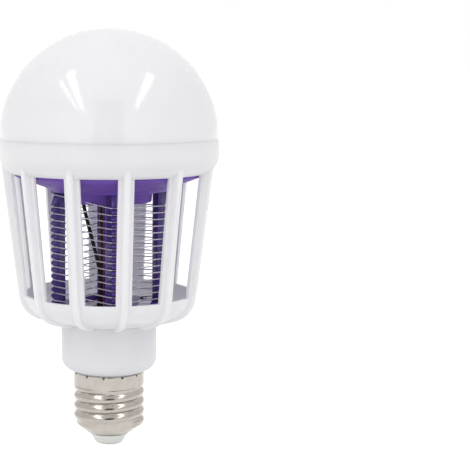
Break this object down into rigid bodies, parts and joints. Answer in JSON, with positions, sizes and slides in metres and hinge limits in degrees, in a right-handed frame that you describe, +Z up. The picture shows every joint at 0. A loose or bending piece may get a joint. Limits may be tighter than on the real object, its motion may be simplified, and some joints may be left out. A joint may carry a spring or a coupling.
{
  "type": "insect killer light bulb",
  "caption": "Screw-in light bulb with an opal dome over a slotted white cage that holds a wire-wound high-voltage grid on a violet former.",
  "frame": {"origin": "tip of the centre contact, on the bulb's axis", "axes": "+Z up the axis to the top of the dome, -Y towards the middle of a window"},
  "size_m": [0.08, 0.08, 0.1528],
  "materials": {
    "white_plastic": "satin moulded polycarbonate",
    "neck_plastic": "satin moulded polycarbonate",
    "nickel": "bright nickel finish",
    "insulator": "moulded, satin",
    "contact_metal": "tinned",
    "violet_plastic": "translucent violet, glossy",
    "grid_steel": "bare drawn wire",
    "opal_plastic": "opal, satin",
    "sink_aluminium": "rolled sheet",
    "white_board": "white solder mask",
    "led_phosphor": "yellow phosphor under clear resin",
    "uv_lens": "clear violet resin",
    "screw_steel": "zinc plated",
    "green_board": "green solder mask",
    "capacitor_sleeve": "shrink sleeve",
    "capacitor_film": "dipped film",
    "black_epoxy": "moulded epoxy",
    "choke_ferrite": "ferrite with a dark sleeve",
    "resistor_coat": "flameproof coat",
    "red_insulation": "insulated stranded lead",
    "black_insulation": "insulated stranded lead"
  },
  "bodies": {
    "root": {"cage_housing": "white_plastic", "driver_housing": "neck_plastic", "screw_cap": "nickel", "cap_insulator": "insulator", "centre_contact": "contact_metal", "lamp_cup": "violet_plastic", "grid_former": "violet_plastic", "live_grid_wire": "grid_steel", "return_grid_wire": "grid_steel", "diffuser_dome": "opal_plastic", "heat_sink_plate": "sink_aluminium", "led_board": "white_board", "white_leds": "led_phosphor", "uv_board": "white_board", "uv_leds": "uv_lens", "board_screws": "screw_steel", "driver_board": "green_board", "smoothing_capacitor": "capacitor_sleeve", "storage_capacitors": "capacitor_film", "bridge_rectifier": "black_epoxy", "driver_chip": "black_epoxy", "choke": "choke_ferrite", "boost_diodes": "black_epoxy", "fuse_resistor": "resistor_coat", "cap_live_lead": "red_insulation", "cap_neutral_lead": "black_insulation", "black_lamp_lead": "black_insulation", "red_lamp_lead": "red_insulation", "live_grid_lead": "red_insulation", "return_grid_lead": "black_insulation"}
  },
  "joints": []
}
